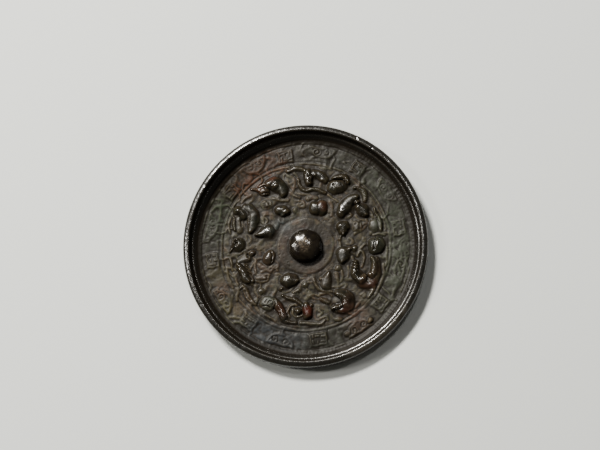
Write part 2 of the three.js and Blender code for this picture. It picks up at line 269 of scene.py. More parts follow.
def fused(surface, feature, fillet):
    """The higher of two heights, with a small fillet where they meet."""
    blend = np.maximum(fillet - np.abs(surface - feature), 0) / fillet
    return np.maximum(surface, feature) + blend * blend * fillet / 4


def worn_profile(distance):
    """Rounded section: 1 in the middle, 0 at distance 1 and falling away outside."""
    inside = np.clip(1 - np.clip(distance, 0, 1) ** 2.05, 0, 1) ** 0.6
    return np.where(distance < 1, inside, (1 - distance) * 1.5)


def spine(line, step=0.8):
    """Closely spaced points on the smooth curve through the given points."""
    p = np.array(line, float)
    if len(p) == 2:
        count = max(2, int(np.linalg.norm(p[1] - p[0]) / step))
        share = np.linspace(0, 1, count)[:, None]
        return p[0] * (1 - share) + p[1] * share
    padded = np.vstack([2 * p[0] - p[1], p, 2 * p[-1] - p[-2]])
    out = []
    for a, b, c, d in zip(padded, padded[1:], padded[2:], padded[3:]):
        t = np.linspace(0, 1, max(3, int(np.linalg.norm(c - b) / step)), endpoint=False)[:, None]
        out.append(0.5 * (2 * b + (c - a) * t + (2 * a - 5 * b + 4 * c - d) * t ** 2
                          + (3 * b - a - 3 * c + d) * t ** 3))
    return np.vstack(out + [p[-1:]])


def from_spine(x, y, line, width):
    """Distance of each point from the curve as a share of its half width there."""
    curve = spine(line)
    last = len(curve) - 1
    half = np.interp(np.arange(last + 1), np.linspace(0, last, len(width)), width) / 2
    best = np.full(x.shape, 1e9)
    for k, (a, b) in enumerate(zip(curve, curve[1:])):
        run = b - a
        along = np.clip(((x - a[0]) * run[0] + (y - a[1]) * run[1]) / (run @ run), 0, 1)
        reach = half[k] + (half[k + 1] - half[k]) * along
        best = np.minimum(best, np.hypot(x - a[0] - along * run[0], y - a[1] - along * run[1]) / reach)
    return best


def near(x, y, line, reach):
    """Points inside the line's box widened by reach."""
    p = np.array(line, float)
    return ((x > p[:, 0].min() - reach) & (x < p[:, 0].max() + reach)
            & (y > p[:, 1].min() - reach) & (y < p[:, 1].max() + reach))


# Relief of the back
# Beasts, bosses, beads and thin lines are of the same bronze, cast in one with the disc
# and worn round by use. Places are in millimetres from the middle, seen from above.

# Bosses: middle, half sizes across and along, turn in degrees, rise over the field
BOSSES = [
    # Bosses round the seat
    ((5.6, 21.5), (3.7, 3.9), 10, 2.4),
    ((8.8, 21.4), (3.7, 4.1), 0, 2.4),
    ((-20.3, -6.3), (3.3, 4.4), -22, 2.2),
    ((-9.9, -19), (4.1, 4.1), 0, 2.5),
    ((26.9, -1.8), (1.6, 2.2), 0, 1.4),
    # Heads and bodies of the beasts
    ((38.9, -0.3), (4.8, 5.1), 0, 2.6),
    ((18.2, -30.8), (3.2, 2.6), 0, 0.8),
    ((38.2, 11), (3.3, 3.8), 0, 1.4),
    ((17.8, 33.4), (5.8, 4.3), 8, 2.3),
    ((19.4, 11), (2.5, 2.8), 0, 2.2),
    ((21.9, 11), (2.5, 2.8), 0, 2.1),
    ((-16.4, 34.2), (2.3, 2.3), 0, 2.9),
    ((-23, 31.3), (3.2, 3), 0, 2.1),
    ((-36.8, 1.1), (4, 4.1), 0, 2.3),
    ((-20.8, -31.8), (4.9, 4), 0, 1.8),
    # Beads
    ((31.7, -18.4), (2.8, 2.6), 0, 2.9),
    ((35.8, -16.8), (1.7, 1.6), 0, 3.1),
    ((28.6, 24), (1.8, 1.8), 0, 2.6),
    ((-30, -3.4), (1.9, 1.7), 0, 1.5),
    ((-3.9, -36), (1.9, 2), 0, 2.3),
    ((-24.4, -25), (2, 2), 0, 1.1),
    ((17.7, -12.7), (1.9, 1.9), 0, 0.9),
    ((-0.3, -21.8), (1.8, 1.8), 0, 1.0),
    ((35.3, -41.7), (1.7, 1.7), 0, 1.6),
    ((17.8, -40.9), (2.2, 1.3), -8, 0.8),
    # Small dots
    ((19.3, 3.2), (1.1, 1.1), 0, 0.9),
    ((27.3, 32.1), (1.2, 1.2), 0, 1.5),
    ((13.5, 19.6), (1.2, 1.2), 0, 0.5),
    ((31.6, 42.6), (1.4, 1.4), 0, 0.7),
    ((32, 35.6), (1.7, 1.2), 0, 0.6),
    ((16.6, -26.2), (1.1, 1), 0, 1.7),
    ((18.2, -27.4), (0.9, 0.9), 0, 2.2),
    ((22.8, -48.9), (1.5, 1.5), 0, 0.8),
    ((-22.4, -17.8), (1.1, 1), 0, 1.2),
    ((-28.9, -19.3), (1.3, 1.2), 0, 1.9),
    ((-13.2, -23.7), (1.4, 1.2), 30, 1.3),
    ((-12.6, 18), (1.5, 1.4), 0, 1.7),
    ((8.4, -18.6), (1.3, 1.2), 0, 1.2),
    ((-6, 20.2), (1.2, 1.2), 0, 0.5),
    ((3.2, -32.8), (0.9, 0.9), 0, 1.3),
    ((5.6, 40), (1.2, 1), 0, 1.9),
    ((9.2, 37.6), (1.2, 1), 0, 1.5),
    ((11.4, 36.2), (1, 0.9), 0, 1.2),
]

# Worn lumps with a pitted top: middle, half sizes and rise
LUMPS = [
    ((28.3, 10.8), (3, 3.9), 1.0),
    ((-21.8, 23.8), (3.3, 2.7), 0.7),
]

# Ridges: the line they follow, widths along it and rise over the field
RIDGES = [
    # Shields, drops and commas round the seat
    ([(20.6, 10.4), (20.9, 8.3), (21.2, 5.9)], (5.8, 5, 1.4), 2.3),
    ([(-15, 20.6), (-12.6, 20.2), (-10.7, 19.5)], (4.4, 5.4, 3.8), 2.2),
    ([(-20.6, 8.5), (-22.6, 8), (-25, 7), (-27.4, 6.3)], (7.6, 6.6, 3.8, 1.4), 2.2),
    ([(-9.5, -19), (-6.8, -18.9), (-4.2, -18.9)], (7.8, 6, 1.6), 2.0),
    ([(12.4, -16.2), (11.8, -18.4), (11.2, -20.8), (10.9, -22.2)], (3, 5.4, 6.6, 5.8), 1.8),
    ([(20.9, -4.2), (20.9, -6.4), (20.5, -8.8)], (8, 6.4, 2.8), 2.3),
    ([(22.6, -3.2), (25.2, -1.7)], (4.2, 2.4), 1.8),
    # Beast on the right
    ([(27.7, -9.6), (27.2, -14.4), (28, -17.4), (30.2, -20)], (3, 4, 4.6, 3.6), 2.4),
    ([(36.6, -17.4), (37.9, -13.8), (37.9, -10.6), (36.8, -7.2)], (3.4, 4.4, 4, 2.6), 2.4),
    ([(28.6, -16.4), (30.6, -20.2), (34.2, -21), (37.4, -18.6), (38.9, -13.8), (38.8, -8.6)],
     (5.4, 6.8, 7, 6.6, 5.4, 4.4), 1.5),
    ([(37.9, 20.4), (38.5, 18), (40.8, 15), (41.5, 11.6), (41.6, 8)], (1.3, 1.6, 2, 2, 1.4), 1.3),
    ([(37.6, -23), (36.6, -26), (34.6, -29.2)], (2.4, 1.8, 1.2), 0.9),
    # Upper right
    ([(19.8, 18.2), (22.2, 22), (25.2, 25.6), (28, 26.8)], (5.2, 7.4, 6.4, 3.2), 2.4),
    ([(29.9, 21.2), (31.8, 19.8), (33.4, 17.2)], (4.6, 7, 3.4), 2.2),
    ([(28.4, 32), (31.4, 30.6), (32.8, 27.8), (32.8, 25.2)], (2, 3.4, 3.6, 2.2), 1.2),
    # Top right
    ([(15.4, 37.6), (18.6, 38.8), (22, 38.2), (23.8, 35.6)], (2, 2.8, 4, 2.8), 2.1),
    ([(4.8, 41), (8, 40.1), (11, 37.4)], (4.4, 5.2, 4), 1.5),
    ([(1.2, 41.6), (1.8, 38.6), (2, 35.6)], (4.8, 5.2, 3.8), 2.2),
    ([(11, 29.7), (5.4, 31.9), (0.2, 31.4), (-3.2, 34), (-4.4, 37.6)], (1.8, 2.4, 2.2, 1.8, 1.4), 1.2),
    ([(-10, 42.7), (-5.4, 43.8), (-0.6, 43.2)], (2.2, 2.8, 2), 1.2),
    # Top left
    ([(-20.4, 35.4), (-16.8, 35.4), (-13.6, 32.8), (-12.4, 30)], (5.4, 8.4, 7.8, 4.8), 2.4),
    ([(-26, 33.7), (-23.2, 35.3), (-20.2, 36.1)], (1.8, 2.2, 2), 1.8),
    ([(-25, 31.9), (-27.6, 32.4), (-30, 33)], (2.8, 2, 1.1), 1.3),
    # Left
    ([(-37.4, 20.7), (-34.6, 18.3)], (5.2, 5.6), 2.3),
    ([(-34, 21.9), (-30.8, 20.8), (-29.3, 17), (-29.5, 12.8), (-30.8, 8.8)], (3.6, 6.6, 7, 5.6, 2.8), 1.9),
    ([(-39.9, 16.6), (-39.7, 13), (-39, 9.4)], (1.5, 2.4, 1.6), 1.5),
    ([(-37, 15.8), (-36.6, 12), (-36.6, 9)], (3.6, 4.2, 3), 0.9),
    ([(-40.6, 0.6), (-40.8, -1.2), (-41.8, -2.8)], (1.8, 1.6, 1.2), 1.2),
    ([(-40, 0.2), (-39.8, 2.8), (-38, 4.2), (-36.8, 3)], (1.1, 1.3, 1.1), 2.3),
    # Lower left
    ([(-36.6, -8.3), (-34.4, -7), (-32.2, -6.3)], (3.6, 4.8, 3.4), 1.3),
    ([(-37.2, -10.2), (-35.4, -13), (-33.6, -16.2), (-32, -19)], (3, 4.4, 4.8, 4), 2.3),
    ([(-34.6, -10.9), (-32.7, -14.6), (-30.6, -18.9)], (4.8, 6, 5.6), 1.1),
    ([(-36.6, -23.6), (-34.7, -22.3), (-33, -24.4), (-31.8, -28), (-29.8, -30.8), (-27.6, -32.4)],
     (1.5, 2.2, 2.6, 2.8, 2.6, 1.5), 1.0),
    ([(-26.4, -17.7), (-23.6, -17.3)], (2.2, 2.8), 0.9),
    ([(-6.6, -25.6), (-3.6, -24.8)], (1.4, 2.4), 0.9),
    # Bottom left
    ([(-17.4, -31.3), (-15, -33.4), (-13.1, -36.6), (-11.7, -39.6)], (5, 4.8, 4.8, 4), 2.3),
    ([(-12, -40.2), (-9.4, -42.2), (-5.6, -42.7)], (3.6, 2.8, 1.8), 1.5),
    # Bottom
    ([(0.2, -33), (0.9, -35.6), (1.1, -38.4)], (3.8, 5.6, 4.8), 2.5),
    ([(-12.8, -27), (-9.4, -29.1), (-5.2, -30), (-2.2, -32.2), (-1.4, -34.6)], (1, 1.9, 2.3, 2.1, 1.2), 1.4),
    ([(-3, -42.6), (3, -43.2), (8, -43.4), (10.5, -41.3)], (1.4, 1.9, 1.9, 1.5), 0.8),
    # Bottom right
    ([(17.8, -26.8), (20.6, -27.8), (22.4, -30), (22.4, -33)], (3.2, 5, 6.4, 5.2), 2.5),
    ([(17, -25.6), (21.4, -26.6), (24.1, -29.6), (23.9, -33), (20.8, -35.7), (17.6, -36)],
     (3.4, 5, 5.8, 6, 4.6, 2.8), 1.6),
    ([(14.8, -35.3), (17.4, -34.3), (20.4, -33.1)], (1.8, 3.6, 2.2), 2.7),
    ([(8.6, -29.6), (11, -30.6), (13, -31.4)], (1.8, 2.7, 2), 1.2),
]

# Thin lines and clouds between the beasts
LINES = [
    ([(1.4, 26.6), (3.6, 27.4), (6.2, 27)], (2.4, 1.6), 0.7),
    ([(19.9, 6.2), (19.3, 3.6)], (1.1, 1), 0.7),
    ([(24.6, 4), (26.2, 2.6), (25.2, 0.6), (23, 0.8)], (1.3, 1.1), 0.45),
    ([(27.4, 6.4), (31, 9), (34.4, 11.6)], (1.2, 1), 0.35),
    ([(33.4, 14), (35.2, 10.8), (35.6, 7.6)], (1.2, 1.1), 0.4),
    ([(37.6, 5.8), (40.4, 6), (43.4, 5.4)], (1.3, 1.1), 0.6),
    ([(35.2, 19.4), (36.8, 16.6), (36.2, 14)], (1.2, 1), 0.35),
    ([(12.6, 28.6), (15.4, 26.6), (17.8, 24.6)], (1.3, 1), 0.4),
    ([(13.4, 24.6), (15, 22), (14.2, 17)], (1.5, 1), 0.35),
    ([(16.6, 44.2), (20, 42.4), (22.4, 40.6)], (1.2, 1.1), 0.4),
    ([(-10, 40.2), (-6.8, 38.8), (-6.2, 35.2), (-7.2, 31.6)], (1.5, 1.2), 0.4),
    ([(-8.4, 30), (-6, 28.4), (-3, 27.8)], (1.3, 1.1), 0.4),
    ([(-3.4, 25.4), (-1.2, 25), (-0.6, 22.8), (-2.6, 21.8), (-4, 23.4)], (1.2, 1.1), 0.45),
    ([(-24.4, 16.6), (-24.4, 13.6), (-22.4, 12.4), (-21.6, 14.8), (-23, 16.4)], (1.2, 1.1), 0.4),
    ([(-34, 13), (-33, 8.6), (-30.4, 4.6)], (1.4, 1), 0.4),
    ([(-42.2, 16.4), (-42.8, 12), (-41.8, 8)], (1.1, 0.9), 0.5),
    ([(-30.4, 29.6), (-33.6, 27.6), (-35.8, 24.8)], (1.3, 1), 0.55),
    ([(-18, 43.2), (-13.6, 44.2), (-9, 45.2)], (1.1, 1), 0.4),
    ([(-18.6, 27.6), (-15, 26), (-9.4, 26.1)], (1.4, 1.2), 0.6),
    ([(-42.6, -4.3), (-38.6, -4.2), (-34.6, -3), (-31.6, -1.2)], (1.5, 1.2), 0.5),
    ([(-41.6, -6.6), (-41.2, -10), (-40.2, -13)], (0.9, 0.9), 0.7),
    ([(-36.9, -23.8), (-37.9, -26.8), (-37.7, -30)], (1.2, 1), 0.45),
    ([(-27.5, -6.8), (-27.9, -11), (-27.3, -15)], (1.3, 1.2), 0.6),
    ([(-26.4, -15.9), (-20, -16)], (1, 0.9), 0.5),
    ([(-26.8, -19.3), (-21.6, -19.3), (-20.6, -16.8)], (1.1, 0.9), 0.5),
    ([(-25, -10.6), (-23, -12.4), (-19.6, -14)], (2, 1.6), 0.6),
    ([(-18.4, -12.6), (-16.4, -11), (-15.6, -13.4)], (1.6, 1.2), 0.5),
    ([(-24.4, -14.2), (-20.6, -12.2), (-18.6, -10.8)], (1.4, 1.2), 0.6),
    ([(-43.6, -12), (-42.6, -17), (-40, -22.6)], (1.2, 1), 0.45),
    ([(-39.6, -14.6), (-38.2, -18.6), (-37.2, -20.8)], (1.4, 1), 0.4),
    ([(-5.2, -32.6), (-8.4, -33.4), (-9.8, -36.4), (-8.8, -39.4)], (1.6, 1.4), 0.7),
    ([(-6.6, -35), (-7, -37.6), (-4.6, -39.4), (-2, -38.6)], (1.1, 1), 0.6),
    ([(-24.6, -36.4), (-21, -38.8), (-16.4, -41.2)], (1.3, 1.1), 0.5),
    ([(-26.8, -29.6), (-27.6, -33.2), (-25, -37.6)], (1.2, 1), 0.4),
    ([(-27.4, -21.6), (-27.6, -24.6), (-26.4, -27.4)], (1.2, 1), 0.4),
    ([(-12.8, -26.4), (-9, -24.6), (-6.8, -23)], (1, 0.9), 0.35),
    ([(4.6, -18.4), (6, -21.8), (9.4, -25), (14.6, -25.4)], (1.3, 1.2), 0.75),
    ([(8.2, -26.8), (12, -26.4), (14.4, -27.8)], (1.2, 1), 0.45),
    ([(17, -15.8), (17.6, -18.6), (18.4, -21)], (1.4, 1.1), 0.45),
    ([(19.8, -14.4), (20.4, -17.4), (19.4, -20)], (1.2, 1), 0.35),
    ([(7.6, -36.2), (9, -37.4), (7.4, -39)], (1.1, 1), 0.45),
    ([(8.6, -40), (11.2, -39.4), (11.8, -41.4)], (1.1, 1), 0.5),
    ([(30.4, -27.4), (32.2, -26.6), (33.6, -28), (32, -28.8)], (1.1, 1), 0.5),
    ([(43, -11), (42.8, -17), (40.4, -23.4), (38, -27.6)], (1.2, 1.1), 0.5),
    ([(44.6, -1.6), (44.8, -7), (44.2, -12)], (1.1, 0.9), 0.4),
    ([(23.6, -12), (24.2, -14.4), (23.4, -17.6)], (1.2, 1), 0.35),
    ([(28.4, -5.8), (30.2, -3.4), (32.2, -5.8), (31.8, -9.4), (30.6, -12.2)], (1.2, 1.1), 0.7),
    ([(25.4, -7), (26.6, -9.2), (26, -12)], (1.6, 1.6), 0.7),
    ([(27.2, -34.6), (30.2, -31.6), (31.6, -30.6)], (1.2, 1), 0.4),
    ([(2.4, -28.4), (5.2, -26.8), (7.6, -27.8)], (1.2, 1), 0.4),
    ([(23.4, 15.6), (25.2, 16.8), (24.2, 18.6)], (1.4, 1.1), 0.45),
    ([(28.2, 16.6), (29.4, 15), (32, 14.2)], (1.1, 1), 0.5),
]

# Grooves cut into the bodies: line, widths along it and depth
GROOVES = [
    ([(13.6, 36), (17, 37.3), (20.4, 36.9), (22.2, 35.6)], (0.9, 0.7), 0.9),
    ([(-31.6, 19.4), (-30.9, 16), (-31.6, 11.8)], (1, 0.8), 0.6),
    ([(-35.7, 14.8), (-35.4, 11.4)], (1.2, 1), 0.7),
    ([(-33.1, -25), (-32.2, -28.2), (-30.4, -30.4)], (0.9, 0.8), 0.5),
    ([(-33.8, -9.4), (-31.6, -10.4)], (0.7, 0.7), 0.6),
    ([(-33.2, -11), (-30.8, -12.1)], (0.7, 0.7), 0.6),
    ([(-32.6, -12.7), (-30, -13.8)], (0.7, 0.7), 0.6),
    ([(-31.8, -14.4), (-29.2, -15.5)], (0.7, 0.7), 0.6),
    ([(-39.3, -9.6), (-34.2, -20.4)], (1.2, 1.2), 0.5),
    ([(2.5, 41.6), (2.8, 36.2)], (0.9, 0.8), 0.2),
    ([(-10.6, -41), (-8, -41.8), (-6, -41.6)], (0.8, 0.7), 0.4),
    ([(34, -18.4), (35, -20.6)], (2, 1.8), 0.35),
    ([(26, -9.6), (29.4, -10.6)], (0.8, 0.7), 0.6),
    ([(25.6, -11.4), (29.2, -12.4)], (0.8, 0.7), 0.6),
    ([(25.6, -13.2), (28.8, -14)], (0.8, 0.7), 0.5),
    ([(-14.8, -35.2), (-13.2, -37.8)], (0.9, 0.8), 0.5),
    ([(-23.9, -33.5), (-21.4, -33.1), (-19.6, -34.4)], (1.2, 1), 0.7),
    ([(-20.8, -31.6), (-19.6, -30.4), (-17.8, -31.2), (-18, -32.8)], (1, 0.9), 0.6),
    ([(-22.6, -30.9), (-21.4, -29.7)], (1, 0.9), 0.4),
    ([(-17.3, -29.4), (-16.6, -32.2), (-17.4, -35.2)], (0.9, 0.8), 0.6),
    ([(15.2, 33.9), (15.5, 33.7)], (1.5, 1.4), 0.9),
    ([(40, 18.4), (42.7, 14), (43.1, 8.6)], (1.2, 1.2), 0.5),
    ([(-38.5, 1.2), (-38.1, 2.2)], (1.6, 1.5), 1.2),
    ([(40, 2.8), (40.1, 1), (39.4, -0.9)], (0.9, 0.8), -0.3),
    ([(38.5, 3.8), (38.3, 1), (38.1, -2.4)], (1.9, 1.7), 0.5),
    ([(27.2, 22.2), (28.2, 19.4)], (0.8, 0.7), 0.5),
    ([(-24.2, 29.6), (-20.6, 30.2)], (0.9, 0.8), 0.6),
    ([(-12.4, 19.9), (-10.8, 20.9)], (0.8, 0.7), 0.4),
    ([(-18.9, -3.2), (-18, -5.8), (-19, -8.6)], (0.9, 0.8), 0.7),
    ([(-32.3, -4.4), (-31.8, -5.6)], (1.3, 1.2), 0.9),
    ([(7.2, 24.8), (7.2, 20.8), (7.5, 18)], (0.9, 0.7), 0.15),
    ([(-8.6, -34.6), (-8.2, -37)], (1, 0.9), 0.4),
]

# Ring between the beasts and the seals, and the seat of the knob
RING = 46.9
RING_RISE = 0.24
SEAT = 16.2
SEAT_RISE = 0.5

# Square seals: inner and outer radius, rise, and for each its place and width
SEAL_INNER, SEAL_OUTER, SEAL_RISE = 48.3, 56.2, 0.75
SEALS = [(10.5, 9.6), (56, 8), (102.5, 9.2), (143, 9.2), (188, 9.2), (233, 9.4), (277.5, 10.4), (321.8, 8.6)]
SEAL_PANEL = 0.3
STROKE_RISE = 0.46
ROW_GAP = 1.55
COLUMN_GAP = 0.27

# Half-rounds between the seals: radius of their base, depth, half width, rise and places
LOBE_BASE, LOBE_DEPTH, LOBE_HALF, LOBE_RISE = 56.9, 7.2, 8.2, 0.6
LOBES = [34, 80, 121.5, 168, 213, 255, 302.5, 345.5]
LOBE_PANEL = 0.24
CURL_RISE = 0.24
CURL_PLACE = 2.9
CURL_REACH = 2.4

# Comb of short radial teeth on the slope, and turned lines on it: radius and depth
TEETH = 184
TEETH_RISE = 0.07
SLOPE_LINES = [(61.75, 0.1), (61.1, 0.08), (60.2, 0.1), (57.5, 0.12)]
PIT_DEPTH = 3.0

# Crack across the crest, nicks in it, and its pitted side: place in degrees, width, depth
CRACK_PLACE = 63.4
CRACK_DEPTH = 0.5
NICKS = [(132.2, 1.6, 0.22), (116, 0.8, 0.12), (148.5, 0.9, 0.14), (55, 0.7, 0.3), (238, 1.2, 0.15)]
PITTED_SIDE = 188


def add_clouds(base, x, y, radius, uneven):
    """The turned profile with an uneven field, low clouds on it and hollows in it."""
    swirl_x = x + waves(x, y, 5.5, 41, 6)
    swirl_y = y + waves(x, y, 5.5, 42, 6)
    clouds = 1 - np.abs(2 * lattice(swirl_x, swirl_y, 4.6, 43) - 1)
    clouds = 0.55 * np.clip(clouds * 2.2 - 1.2, 0, 1) * np.clip(lattice(x, y, 9, 24) * 1.8 - 0.2, 0.15, 1)
    clouds *= fade(radius, SEAT + 1, 2) * np.where(radius < RING, 1, 0.75)
    hollows = 0.3 * np.clip(lattice(x, y, 4.2, 44) - 0.55, 0, 1) * (radius > SEAT + 2)
    return base + np.where(radius < SLOPE_FOOT, uneven + clouds - hollows, uneven * 0.35)


def add_ring(height, x, y, radius, uneven):
    """Thin worn ring with a shallow groove on both sides."""
    from_ring = np.abs(radius - RING + waves(x, y, 9, 3, 0.4))
    worn = 0.35 + 0.75 * lattice(x, y, 8, 27)
    ring = FIELD + uneven + RING_RISE * worn * (1 - (from_ring / 0.5) ** 2)
    height = fused(height, ring, 0.15)
    for groove_radius, depth in ((RING - 1.1, 0.3), (RING + 1.1, 0.2)):
        height -= depth * worn * line_at(radius, groove_radius, 0.3)
    return height


def add_seat(height, x, y, radius, uneven):
    """Seat of the knob, with a slightly raised, uneven edge."""
    seat_edge = SEAT + waves(x, y, 6, 4, 1.1)
    worn = 0.4 + 0.6 * lattice(x, y, 10, 28)
    seat = FIELD + SEAT_RISE * worn * fade(radius, seat_edge, -1.2) + uneven * 0.6
    seat += 0.05 * worn * line_at(radius, seat_edge - 0.9, 0.5)
    return np.where(radius < seat_edge, np.maximum(height, seat), height)


def add_bosses(height, x, y, dents):
    """Rounded bosses, and the lumps whose tops are pitted."""
    pitted = waves(x, y, 1.15, 29, 1.2)
    lumps = [(middle, half, 0, rise, pitted, 0.3) for middle, half, rise in LUMPS]
    for middle, half, angle, rise, rough, fillet in [(*boss, dents, 0.4) for boss in BOSSES] + lumps:
        mask = near(x, y, [middle], max(half) * 1.3 + 0.5)
        out, along = turned(x[mask] - middle[0], y[mask] - middle[1], angle)
        form = worn_profile(np.hypot(out / half[0], along / half[1]))
        height[mask] = fused(height[mask], FIELD + (rise + rough[mask]) * form, fillet)
    return height


def add_ridges(height, x, y, dents, uneven):
    """Bodies, coils and crests of the beasts, the thin worn lines, and the grooves."""
    line_wear = (0.55 + 0.6 * lattice(x, y, 4.2, 30)) * 1.1
    for ridges, fillet, thin in ((RIDGES, 0.9, 0), (LINES, 0.3, 1)):
        for line, width, rise in ridges:
            mask = near(x, y, line, max(width) + 0.6)
            distance = from_spine(x[mask], y[mask], line, [w * (1 + 0.35 * thin) for w in width])
            lift = (rise + dents[mask] * min(rise, 1)) * (line_wear[mask] if thin else 1)
            ridge = FIELD + uneven[mask] * thin + lift * worn_profile(distance)
            height[mask] = fused(height[mask], ridge, fillet)
    for line, width, depth in GROOVES:
        mask = near(x, y, line, max(width) + 0.6)
        distance = from_spine(x[mask], y[mask], line, width)
        height[mask] -= depth * np.clip(1 - distance * distance, 0, 1) ** 1.2
    return height


def add_seals(height, x, y, dents, uneven, worn):
    """Square seals: a worn frame round two rows of shallow strokes, which aren't letters."""
    middle, half = (SEAL_INNER + SEAL_OUTER) / 2, (SEAL_OUTER - SEAL_INNER) / 2
    for index, (angle, wide) in enumerate(SEALS):
        out, along = turned(x, y, angle)
        mask = (np.abs(out - middle) < half + 1) & (np.abs(along) < wide / 2 + 1)
        out, along = out[mask], along[mask]
        edge = np.maximum(np.abs(out - middle) - half, np.abs(along) - wide / 2) + dents[mask] * 0.9
        top = SEAL_RISE * np.clip(-edge / 0.8, -0.4, 1)
        top -= SEAL_PANEL * fade(edge, -1, -0.5)
        rng = np.random.default_rng(40 + index)
        for row in (-1, 1):
            for column in (-1, 0, 1):
                across = out - middle - row * ROW_GAP - rng.normal(0, 0.15)
                length = along - column * wide * COLUMN_GAP - rng.normal(0, 0.15)
                if rng.random() < 0.5:
                    across, length = length, across
                stroke = np.clip(1 - (np.abs(across) / 0.55) ** 2, 0, 1)
                stroke *= fade(np.abs(length), rng.uniform(0.9, 1.35), -0.4)
                top += STROKE_RISE * stroke * (edge < -0.6)
        height[mask] = fused(height[mask], FIELD + top * worn[mask] + uneven[mask], 0.3)
    return height


def add_half_rounds(height, x, y, dents, uneven, worn):
    """Half-rounds with a worn border and two curls."""
    for index, angle in enumerate(LOBES):
        out, along = turned(x, y, angle)
        mask = (out > LOBE_BASE - LOBE_DEPTH - 1) & (out < LOBE_BASE + 1) & (np.abs(along) < LOBE_HALF + 1)
        out, along = out[mask] - LOBE_BASE, along[mask]
        reach = np.hypot(out / LOBE_DEPTH, along / LOBE_HALF)
        edge = np.maximum((reach - 1) * LOBE_DEPTH * 0.95, out) + dents[mask] * 0.9
        panel = fade(edge, -1.1, -0.5)
        top = LOBE_RISE * np.clip(-edge / 0.8, -0.4, 1) - LOBE_PANEL * panel
        rng = np.random.default_rng(60 + index)
        for side in (-1, 1):
            start = rng.uniform(0, 6.28)
            curl_out = out + CURL_PLACE + rng.normal(0, 0.2)
            curl_along = along - side * CURL_PLACE + rng.normal(0, 0.3)
            reach = np.hypot(curl_out, curl_along)
            spiral = reach - 0.32 * side * np.arctan2(curl_along, curl_out) + 0.16 * start
            top += CURL_RISE * np.clip(np.cos(spiral * 3.4) * 1.3, -1, 1) * panel * (reach < CURL_REACH)
        height[mask] = fused(height[mask], FIELD + top * worn[mask] + uneven[mask], 0.3)
    return height


def add_slope_marks(height, x, y, radius, turn):
    """Worn comb of teeth and fine turned lines on the slope, and pits all over the back."""
    teeth = np.clip(np.cos(np.radians(turn) * TEETH) * 1.6, -1, 1)
    teeth *= fade(radius, 58.2, 0.4) * fade(radius, 61.2, -0.4)
    right_side = np.clip(np.cos(np.radians(turn + 5)) * 1.5, 0.12, 1)
    height += TEETH_RISE * teeth * right_side * np.clip(lattice(x, y, 11, 7) * 2.2 - 0.4, 0, 1)
    for line_radius, depth in SLOPE_LINES:
        height -= depth * line_at(radius, line_radius, 0.2) * (0.4 + lattice(x, y, 9, 36))
    pits = np.clip(lattice(x, y, 1.1, 8) - 0.86, 0, 1) * np.clip(lattice(x, y, 13, 9) * 2 - 0.7, 0, 1)
    return height - pits * PIT_DEPTH


def relief(x, y, base):
    """Height of the decorated back at each point, starting from the turned profile."""
    radius = np.hypot(x, y)
    turn = np.degrees(np.arctan2(y, x)) % 360
    bent_x = x + waves(x, y, 3.1, 21, 0.9)
    bent_y = y + waves(bent_x, y, 3.1, 22, 0.9)
    uneven = waves(bent_x, bent_y, 7, 1, 0.4) + waves(bent_x, bent_y, 2.3, 2, 0.26)
    uneven += waves(bent_x, bent_y, 1.1, 46, 0.1)
    dents = waves(bent_x, bent_y, 1.7, 25, 0.26) + waves(bent_x, bent_y, 0.9, 45, 0.12)
    height = add_clouds(base, bent_x, bent_y, radius, uneven)
    height = add_ring(height, bent_x, bent_y, radius, uneven)
    height = add_seat(height, bent_x, bent_y, radius, uneven)
    height = add_bosses(height, bent_x, bent_y, dents)
    height = add_ridges(height, bent_x, bent_y, dents, uneven)
    belt_x = x + waves(x, y, 1.9, 51, 0.8)
    belt_y = y + waves(x, y, 1.9, 52, 0.8)
    worn = 0.42 + 0.62 * lattice(belt_x, belt_y, 5, 26)
    height = add_seals(height, belt_x, belt_y, dents, uneven, worn)
    height = add_half_rounds(height, belt_x, belt_y, dents, uneven, worn)
    return add_slope_marks(height, belt_x, belt_y, radius, turn)


def rim_flaws(x, y, z):
    """Height of the rim's top after its nicks, a crack and the pitting of its left side."""
    radius = np.hypot(x, y)
    turn = np.degrees(np.arctan2(y, x)) % 360
    from_crack = np.radians(turn - CRACK_PLACE) * radius - (radius - 65) * 0.9
    z = z - CRACK_DEPTH * line_at(from_crack, 0, 0.35) * fade(radius, 63.6, 0.5)
    for place, wide, depth in NICKS:
        z = z - depth * line_at(np.radians(turn - place) * radius, 0, wide)
    left = np.clip(1.25 - np.abs(turn - PITTED_SIDE) / 30, 0, 1)
    z = z - 0.22 * np.clip(lattice(x, y, 0.9, 31) - 0.45, 0, 1) * left
    return z + waves(x, y, 5, 32, 0.1) + waves(x, y, 1.3, 33, 0.05)


points, faces = skin_of_rings(ring_list())
radii = np.hypot(points[:, 0], points[:, 1])
crest = (points[:, 2] > CREST_START) & (radii > CREST_INNER_RADIUS)
points[crest, 2] = rim_flaws(points[crest, 0], points[crest, 1], points[crest, 2])

# The knob's dome is dented towards its middle
DENT_START = 4.4
DENT_RUN = 4
LEAST_DENT = 0.25
KNOB_SHRINK = 0.024
KNOB_MIDDLE = np.array((0, 0, 4))
on_knob = radii < KNOB_RADIUS + 0.05
dome = (points[:, 2] > DENT_START) & on_knob
dent = waves(points[:, 0], points[:, 1], 2.6, 34, 0.042) + waves(points[:, 0], points[:, 1], 1.2, 35, 0.012)
dent *= np.clip((points[:, 2] - DENT_START) / DENT_RUN, LEAST_DENT, 1)
from_middle = (points[dome] - KNOB_MIDDLE) * (1 - KNOB_SHRINK + dent[dome])[:, None]
points[dome] = KNOB_MIDDLE + from_middle

